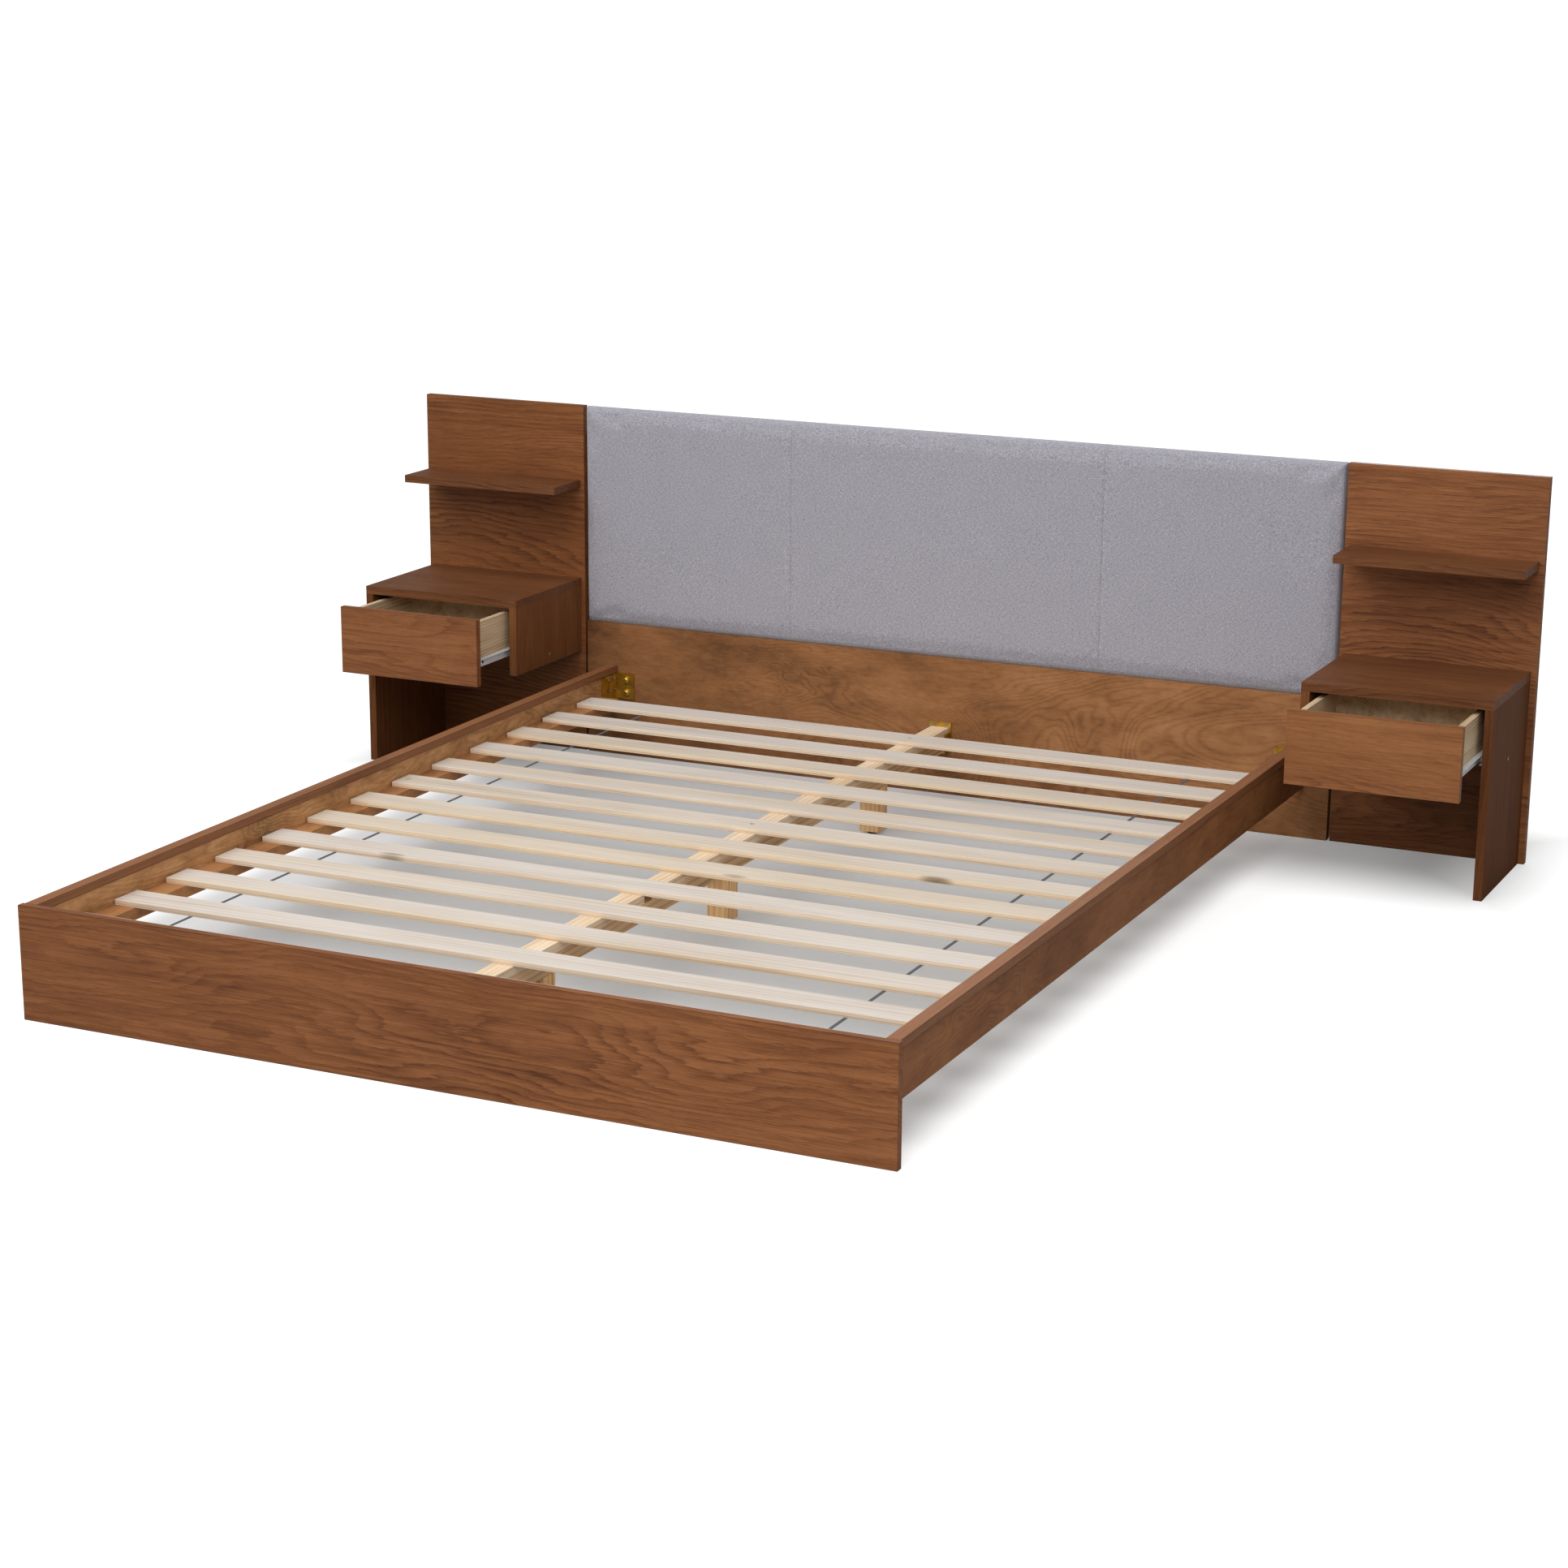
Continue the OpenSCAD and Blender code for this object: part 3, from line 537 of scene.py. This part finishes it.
def pad_shell(low, high):
    """Closed tray of quads: flat front, rounded front edges, and a recess behind for the backing board."""
    xs = spaced(low.x, high.x, PAD_STEP, EDGE_ROWS, SEAM_ROWS, SEAMS)
    zs = spaced(low.z, high.z, PAD_STEP, EDGE_ROWS)
    ys = [low.y + depth for depth in DEPTH_ROWS] + [high.y]
    last = (len(xs) - 1, len(ys) - 1, len(zs) - 1)
    bm = bmesh.new()
    made = {}

    def corner(i, j, k):
        if (i, j, k) not in made:
            inside = RIM_FACES <= i <= last[0] - RIM_FACES and RIM_FACES <= k <= last[2] - RIM_FACES
            y = high.y - RECESS_DEPTH if j == last[1] and inside else ys[j]
            made[i, j, k] = bm.verts.new((xs[i], y, zs[k]))
        return made[i, j, k]

    for i in range(last[0]):
        for k in range(last[2]):
            for j, turn in ((0, 1), (last[1], -1)):
                square = [corner(i, j, k), corner(i + 1, j, k),
                          corner(i + 1, j, k + 1), corner(i, j, k + 1)]
                bm.faces.new(square[::turn])
    for j in range(last[1]):
        for k in range(last[2]):
            for i, turn in ((0, -1), (last[0], 1)):
                square = [corner(i, j, k), corner(i, j + 1, k),
                          corner(i, j + 1, k + 1), corner(i, j, k + 1)]
                bm.faces.new(square[::turn])
        for i in range(last[0]):
            for k, turn in ((0, 1), (last[2], -1)):
                square = [corner(i, j, k), corner(i, j + 1, k),
                          corner(i + 1, j + 1, k), corner(i + 1, j, k)]
                bm.faces.new(square[::turn])
    radius = PAD_ROUNDING
    for vert in bm.verts:
        core = Vector((min(max(vert.co.x, low.x + radius), high.x - radius),
                       max(vert.co.y, low.y + radius),
                       min(max(vert.co.z, low.z + radius), high.z - radius)))
        outward = vert.co - core
        if vert.co.y < low.y + radius and outward.length > radius:
            vert.co = core + outward.normalized() * radius
    bmesh.ops.recalc_face_normals(bm, faces=bm.faces)
    return bm


def inflate(pad, back, cap):
    """Swells the pad with Cloth, held at the back, and lets no point move further than about cap."""
    mesh = pad.data
    start = [v.co.copy() for v in mesh.vertices]
    pins = pad.vertex_groups.new(name="held")
    pins.add([v.index for v in mesh.vertices if v.co.y > back], 1.0, "REPLACE")
    cloth = pad.modifiers.new("cloth", "CLOTH")
    cloth.settings.quality = 6
    cloth.settings.mass = 0.3
    cloth.settings.tension_stiffness = 30
    cloth.settings.compression_stiffness = 30
    cloth.settings.shear_stiffness = 15
    cloth.settings.bending_stiffness = 2
    cloth.settings.use_pressure = True
    cloth.settings.uniform_pressure_force = 4
    cloth.settings.effector_weights.gravity = 0
    cloth.settings.vertex_group_mass = "held"
    cloth.collision_settings.use_collision = False
    for number in range(1, SWELL_FRAMES + 1):
        scene.frame_set(number)
    shaped = pad.evaluated_get(bpy.context.evaluated_depsgraph_get())
    swollen = [v.co.copy() for v in shaped.data.vertices]
    pad.modifiers.remove(cloth)
    scene.frame_set(1)
    for vert, rest, moved in zip(mesh.vertices, start, swollen):
        step = moved - rest
        step.x *= SIDEWAYS_SHARE
        step.z *= SIDEWAYS_SHARE
        if step.length > 0:
            vert.co = rest + step.normalized() * cap * math.tanh(step.length / cap)


def subdivide(obj):
    """Replaces a mesh with its once smoothed and divided form."""
    smooth = obj.modifiers.new("smooth", "SUBSURF")
    smooth.levels = smooth.render_levels = 1
    mesh = bpy.data.meshes.new_from_object(obj.evaluated_get(bpy.context.evaluated_depsgraph_get()))
    obj.modifiers.remove(smooth)
    obj.data = mesh


def ease_fabric(mesh, low, high):
    """Seam grooves, shallow waves in the foam and small pulls along the stapled edges."""
    stapled, downward = 5 * MM, -0.75
    foam_dip, foam_reach = 0.5 * MM, 22 * MM
    wave = 0.35 * MM
    pull, pull_reach = 0.5 * MM, 30 * MM
    normals = [v.normal.copy() for v in mesh.vertices]
    for vert, normal in zip(mesh.vertices, normals):
        x, y, z = vert.co
        if y > high.y - stapled:
            continue
        if normal.z < downward:
            vert.co.z = low.z - PAD_DROP
            continue
        dip = 0.0
        for seam in SEAMS:
            off = (x - seam) / SEAM_WIDTH
            dip += SEAM_DEPTH * math.exp(-off * off) + foam_dip * math.exp(-abs(x - seam) / foam_reach)
        dip += wave * noise.noise(Vector((x * 5.0, 4.0, z * 6.0)))
        edge = min(z - low.z, high.z - z)
        near_edge = math.exp(-max(edge, 0.0) / pull_reach)
        dip += pull * near_edge * noise.noise(Vector((x * 26.0, 9.0, z * 2.0)))
        vert.co -= normal * dip
        vert.co.z = max(vert.co.z, low.z - PAD_DROP)


def capsule(bm, start, end, radius, sides=6):
    """Short rounded thread or wire from start to end."""
    along = (end - start).normalized()
    side = along.orthogonal().normalized()
    other = along.cross(side)
    length = (end - start).length
    rings = []
    for place, size in ((0.0, 0.45), (0.14, 0.9), (0.5, 1.0), (0.86, 0.9), (1.0, 0.45)):
        middle = start + along * length * place
        rings.append([bm.verts.new(middle + (side * math.cos(t) + other * math.sin(t)) * radius * size)
                      for t in (math.tau * i / sides for i in range(sides))])
    for a, b in zip(rings, rings[1:]):
        for i in range(sides):
            bm.faces.new((a[i], a[(i + 1) % sides], b[(i + 1) % sides], b[i]))
    bm.faces.new(rings[0][::-1])
    bm.faces.new(rings[-1])


def add_piece(name, bm, key, body, smooth=True):
    """Turns mesh data into a piece that rides on a body, with one of the materials."""
    mesh = bpy.data.meshes.new(name)
    bm.to_mesh(mesh)
    bm.free()
    for face in mesh.polygons:
        face.use_smooth = smooth
    mesh.materials.append(materials[key])
    piece = bpy.data.objects.new(name, mesh)
    scene.collection.objects.link(piece)
    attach(piece, body)
    return piece


def make_pad():
    """Swollen, sewn cover that stands for the CAD pad."""
    low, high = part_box("headboard_pad")
    start_low = low + Vector((SIDE_INSET, FRONT_INSET, -START_DROP))
    start_high = high - Vector((SIDE_INSET, 0, SIDE_INSET))
    pad = add_piece("upholstered_pad", pad_shell(start_low, start_high), "linen", "bed_frame")
    inflate(pad, high.y - HELD_BACK, SWELL_CAP)
    subdivide(pad)
    for face in pad.data.polygons:
        face.use_smooth = True
    ease_fabric(pad.data, low, high)
    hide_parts("headboard_pad")
    return pad


def make_stitches(pad):
    """A row of short stitches down each seam, laid on the pad's own surface in the groove."""
    low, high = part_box("headboard_pad")
    bm = bmesh.new()
    length, pitch, margin = 2.6 * MM, 3.6 * MM, 14 * MM
    radius, proud, ahead = 0.3 * MM, 0.05 * MM, 0.1
    count = int((high.z - low.z - 2 * margin) / pitch)
    for seam in SEAMS:
        for i in range(count):
            bottom = low.z + margin + i * pitch
            ends = []
            for z in (bottom, bottom + length):
                place = pad.ray_cast(Vector((seam, low.y - ahead, z)), Vector((0, 1, 0)))[1]
                ends.append(place + Vector((0, -proud, 0)))
            capsule(bm, ends[0], ends[1], radius)
    add_piece("seam_stitches", bm, "thread", "bed_frame")


# ---------------------------------------------------------------------- fasteners

# how near two corners are one, two sides make a round, and points belong to a head's or a tail's rim
WELD = 0.02 * MM
ROUND_WITHIN = 0.4 * MM
HEAD_WITHIN = 0.1 * MM
TAIL_WITHIN = 0.05 * MM

# cross recess: rings across an end and half the width of its arms, as shares of the end's radius
CROSS_RINGS = (0.82, 0.66, 0.6, 0.45, 0.3, 0.16)
CROSS_ARM = 0.17


def islands(mesh):
    """Lists of points, one for each separate shell of a mesh, whose faces may not share their corners."""
    bm = bmesh.new()
    bm.from_mesh(mesh)
    bmesh.ops.remove_doubles(bm, verts=bm.verts, dist=WELD)
    left = dict.fromkeys(bm.verts)
    groups = []
    while left:
        queue = [next(iter(left))]
        del left[queue[0]]
        group = []
        while queue:
            vert = queue.pop()
            group.append(vert.co.copy())
            for edge in vert.link_edges:
                other = edge.other_vert(vert)
                if other in left:
                    del left[other]
                    queue.append(other)
        groups.append(group)
    bm.free()
    return groups


def fastener_places(mesh):
    """For each fastener: middle of its tail, way from tail to head, length, shank and head radius."""
    found = []
    for group in islands(mesh):
        low = Vector([min(p[i] for p in group) for i in range(3)])
        high = Vector([max(p[i] for p in group) for i in range(3)])
        size = high - low
        middle = (low + high) / 2
        best = None
        for axis in range(3):
            others = [i for i in range(3) if i != axis]
            if abs(size[others[0]] - size[others[1]]) > ROUND_WITHIN:
                continue
            if best is not None and size[axis] <= best[2]:
                continue
            reach = [math.hypot(*(p[i] - middle[i] for i in others)) for p in group]
            head = max(reach)
            wide = [p[axis] for p, r in zip(group, reach) if r > head - HEAD_WITHIN]
            way = 1 if sum(wide) / len(wide) >= middle[axis] else -1
            tail = middle.copy()
            tail[axis] = low[axis] if way > 0 else high[axis]
            shank = max(r for p, r in zip(group, reach) if abs(p[axis] - tail[axis]) < TAIL_WITHIN)
            forward = Vector((0, 0, 0))
            forward[axis] = way
            best = (tail, forward, size[axis], shank, head)
        found.append(best)
    return found


def turned(bm, tail, forward, profile, sides=24, cross=0.0):
    """Solid of revolution from (radius, height) pairs; cross is the depth of a cross recess in its end."""
    side = forward.orthogonal().normalized()
    other = forward.cross(side)
    top = profile[-1][0]
    rings = [*profile]
    if cross:
        rings += [(top * share, profile[-1][1]) for share in CROSS_RINGS]
    first_sunk = len(profile) + 2
    made = []
    for number, (radius, height) in enumerate(rings):
        ring = []
        for i in range(sides):
            t = math.tau * i / sides
            u, v = radius * math.cos(t), radius * math.sin(t)
            sunk = cross and number >= first_sunk and min(abs(u), abs(v)) < CROSS_ARM * top
            depth = cross if sunk else 0.0
            ring.append(bm.verts.new(tail + side * u + other * v + forward * (height - depth)))
        made.append(ring)
    for a, b in zip(made, made[1:]):
        for i in range(sides):
            bm.faces.new((a[i], a[(i + 1) % sides], b[(i + 1) % sides], b[i]))
    bm.faces.new(made[0][::-1])
    bm.faces.new(made[-1])


def make_screws():
    """Wood screws with countersunk heads and a cross recess, a tapering tip and a plain shank."""
    bm = bmesh.new()
    for tail, forward, length, shank, head in fastener_places(nodes["wood_screws"].data):
        shank = min(shank, head * 0.6)
        turned(bm, tail, forward,
               [(0.3 * MM, 0), (shank * 0.8, 4 * MM), (shank, 6 * MM), (shank, length - 2.2 * MM),
                (head * 0.96, length - 0.35 * MM), (head, length - 0.2 * MM), (head * 0.97, length)],
               cross=min(0.9 * MM, head * 0.3))
    screws = add_piece("screws", bm, "steel", "bed_frame", smooth=False)
    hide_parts("wood_screws")


def make_bolts():
    """Bracket bolts with a washer and a low dome with a cross recess, and the legs' plain rods."""
    bm = bmesh.new()
    for tail, forward, length, shank, head in fastener_places(nodes["frame_bolts"].data):
        plain = head < shank * 1.3
        if plain:
            turned(bm, tail, forward, [(shank * 0.8, 0), (shank, 1 * MM), (shank, length - 1 * MM),
                                       (shank * 0.8, length)])
            continue
        washer_and_dome = 5.5 * MM
        seat = length - washer_and_dome
        turned(bm, tail, forward,
               [(shank * 0.8, 0), (shank, 1 * MM), (shank, seat), (head - 0.4 * MM, seat),
                (head, seat + 0.4 * MM), (head, seat + 1.1 * MM), (head - 0.4 * MM, seat + 1.5 * MM),
                (7.2 * MM, seat + 1.5 * MM),
                (7.3 * MM, seat + 2.4 * MM), (6.6 * MM, seat + 3.9 * MM), (5.2 * MM, seat + 4.9 * MM),
                (4.2 * MM, seat + 5.4 * MM)], sides=32, cross=1.6 * MM)
    bolts = add_piece("bolts", bm, "zinc", "bed_frame", smooth=False)
    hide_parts("frame_bolts")


def make_runner_screws():
    """Black pan-head screws that hold the drawer runners to the box sides."""
    from_front, from_back, height, depth = 24 * MM, 40 * MM, 9 * MM, 6 * MM
    for side in SIDES:
        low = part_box(f"slide_runners_{side}")[0]
        inner_low, inner_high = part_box(f"drawer_sides_{side}")
        bm = bmesh.new()
        for way in (-1, 1):
            wall = inner_low.x if way < 0 else inner_high.x
            for y in (inner_low.y + from_front, inner_high.y - from_back):
                tail = Vector((wall - way * depth, y, low.z + height))
                turned(bm, tail, Vector((way, 0, 0)),
                       [(1.4 * MM, 0), (1.6 * MM, 6 * MM), (3.0 * MM, 6.9 * MM), (3.1 * MM, 7.6 * MM),
                        (2.6 * MM, 8.3 * MM)], cross=0.7 * MM)
        add_piece(f"runner_screws_{side}", bm, "black_screw", f"drawer_{side}", smooth=False)


pad = make_pad()
make_stitches(pad)
make_screws()
make_bolts()
make_runner_screws()


# ------------------------------------------------------- camera, floor, light

def make_camera():
    """Stands at the foot of the bed, to its right, a little above the headboard's height."""
    camera = bpy.data.objects.new("camera", bpy.data.cameras.new("camera"))
    scene.collection.objects.link(camera)
    place = (2.611, -5.3247, 1.7959)
    yaw, pitch, roll = 0.4423, 0.2805, 0.0053
    turn = Euler((math.pi / 2 - pitch, 0, yaw)).to_matrix() @ Matrix.Rotation(roll, 3, "Z")
    camera.matrix_world = Matrix.Translation(place) @ turn.to_4x4()
    camera.data.sensor_width = 36.0
    camera.data.lens = 76.37
    camera.data.shift_x = 0.0079
    camera.data.shift_y = 0.0566
    camera.data.clip_end = 500.0
    scene.camera = camera


# the floor for bounced light: how pale under the bed, by the nightstands and elsewhere
BOUNCE_UNDER, BOUNCE_STANDS, BOUNCE_OPEN = 0.85, 0.14, 0.42
# the floor as the camera sees it: how pale in a band by the left rail, painted light that softens the shade's
# edge there, and elsewhere, and its camera-only glow under the bed and away from it, painted light
SHOWN_PAINTED_EDGE_LIGHT, SHOWN_OPEN = 0.61, 0.45
PAINTED_GLOW_UNDER, PAINTED_GLOW_OPEN = 0.17, 0.55
FLOOR_REACH = 150.0


def nearness(g, x, y, low, high, start, end):
    """0 on the floor inside a box's footprint and 1 outside it, changing from start to end metres away."""
    centre, half = (low + high) / 2, (high - low) / 2
    away = g.math("MAXIMUM",
                  g.math("SUBTRACT", g.math("ABSOLUTE", g.math("SUBTRACT", x, centre.x)), half.x),
                  g.math("SUBTRACT", g.math("ABSOLUTE", g.math("SUBTRACT", y, centre.y)), half.y))
    fade = g.add("MapRange", interpolation_type="SMOOTHSTEP")
    g.feed(fade.inputs["Value"], away)
    fade.inputs["From Min"].default_value = start
    fade.inputs["From Max"].default_value = end
    return fade.outputs[0]


def make_floor():
    """Pale floor, grey under the bed and fading to pure white away from it through a camera-only glow,
    painted light that is held back near the bed so that its shade shows, with its own share of bounce.
    """
    mesh = bpy.data.meshes.new("floor")
    reach = FLOOR_REACH
    mesh.from_pydata([(-reach, -reach, 0), (reach, -reach, 0), (reach, reach, 0), (-reach, reach, 0)],
                     [], [(0, 1, 2, 3)])
    floor = bpy.data.objects.new("floor", mesh)
    scene.collection.objects.link(floor)
    g = Graph("floor", roughness=0.9, Specular_IOR_Level=0.0)
    seen = g.add("LightPath").outputs["Is Camera Ray"]
    x, y = g.object_xyz()[:2]
    rails_low, rails_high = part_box("side_rail_left")[0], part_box("side_rail_right")[1]
    stands_low, stands_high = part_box("nightstand_top_left")[0], Vector(cad_box[1]) + Vector((0, 0.15, 0))
    painted_shade_low, painted_shade_high = rails_low + Vector((-0.2, 0.32, 0)), Vector((0.0, rails_high.y, 0))
    # a band along the left rail's outer face where the camera sees a paler floor: painted light that softens
    # the shade's edge there
    painted_edge_low, painted_edge_high = rails_low + Vector((-0.06, 0, 0)), Vector((rails_low.x + 0.02, rails_high.y, 0))
    beside_rails = nearness(g, x, y, rails_low, rails_high, -0.09, 0.02)
    beside_stands = nearness(g, x, y, stands_low, stands_high, -0.2, 0.15)
    beyond_painted_shade = nearness(g, x, y, painted_shade_low, painted_shade_high, -0.09, 0.02)
    off_painted_edge = nearness(g, x, y, painted_edge_low, painted_edge_high, 0.0, 0.12)
    g.shader.inputs["Emission Color"].default_value = (1.0, 1.0, 1.0, 1.0)
    # the camera-only glow is painted light: full away from the bed, left out beside the rails, by the
    # nightstands and in a box over the bed's left half that reaches past the left rail, where its lack paints
    # the floor's shade
    away = g.math("MULTIPLY", g.math("MULTIPLY", beside_rails, beyond_painted_shade), beside_stands)
    painted_glow = g.math("MULTIPLY", away, PAINTED_GLOW_OPEN)
    g.feed(g.shader.inputs["Emission Strength"], g.math("MULTIPLY", g.math("ADD", painted_glow, PAINTED_GLOW_UNDER), seen))
    outside = g.mix(beside_stands, grey(BOUNCE_STANDS), grey(BOUNCE_OPEN))
    bounce = g.mix(beside_rails, grey(BOUNCE_UNDER), outside)
    shown = g.mix(off_painted_edge, grey(SHOWN_PAINTED_EDGE_LIGHT), grey(SHOWN_OPEN))
    mesh.materials.append(g.finish(g.mix(seen, bounce, shown)))


def add_light(data, direction, place=(0.0, 0.0, 0.0)):
    light = bpy.data.objects.new(data.name, data)
    light.location = place
    light.rotation_mode = "QUATERNION"
    light.rotation_quaternion = Vector(direction).to_track_quat("-Z", "Y")
    scene.collection.objects.link(light)


def soft_box(name, place, aim, size, power):
    """Rectangular panel at a place, facing the point that it aims at."""
    data = bpy.data.lights.new(name, "AREA")
    data.shape = "RECTANGLE"
    data.size, data.size_y = size
    data.energy = power
    add_light(data, Vector(aim) - Vector(place), place)


def soft_sun(name, direction, energy, spread):
    """Light from everywhere in a cone spread degrees wide."""
    data = bpy.data.lights.new(name, "SUN")
    data.energy = energy
    data.angle = math.radians(spread)
    add_light(data, direction)


def make_light():
    """Studio light: a broad sky, panels in front, behind and above the bed's left, and a white surround."""
    world = bpy.data.worlds.new("studio")
    world.use_nodes = True
    tree = world.node_tree
    background = tree.nodes["Background"]
    background.inputs[0].default_value = (1.0, 1.0, 1.0, 1.0)
    level = tree.nodes.new("ShaderNodeMapRange")
    lit, seen = 0.36, 1.0
    level.inputs["To Min"].default_value = lit
    level.inputs["To Max"].default_value = seen
    tree.links.new(tree.nodes.new("ShaderNodeLightPath").outputs["Is Camera Ray"], level.inputs["Value"])
    tree.links.new(level.outputs[0], background.inputs[1])
    scene.world = world
    soft_sun("sky_panel", direction=(0.15, 0.55, -0.85), energy=1.65, spread=65)
    soft_box("front_fill", place=(1.8, -3.6, 2.8), aim=(0.5, 0.5, 0.3), size=(2.0, 1.6), power=45.0)
    soft_box("key", place=(-0.8, -1.4, 2.3), aim=(0.3, 0.9, 0.4), size=(1.8, 1.8), power=17.0)
    soft_box("back_fill", place=(0.4, 4.6, 2.6), aim=(0.0, 1.0, 0.3), size=(3.0, 2.0), power=66.0)


make_camera()
make_floor()
make_light()
scene.view_settings.view_transform = "Standard"
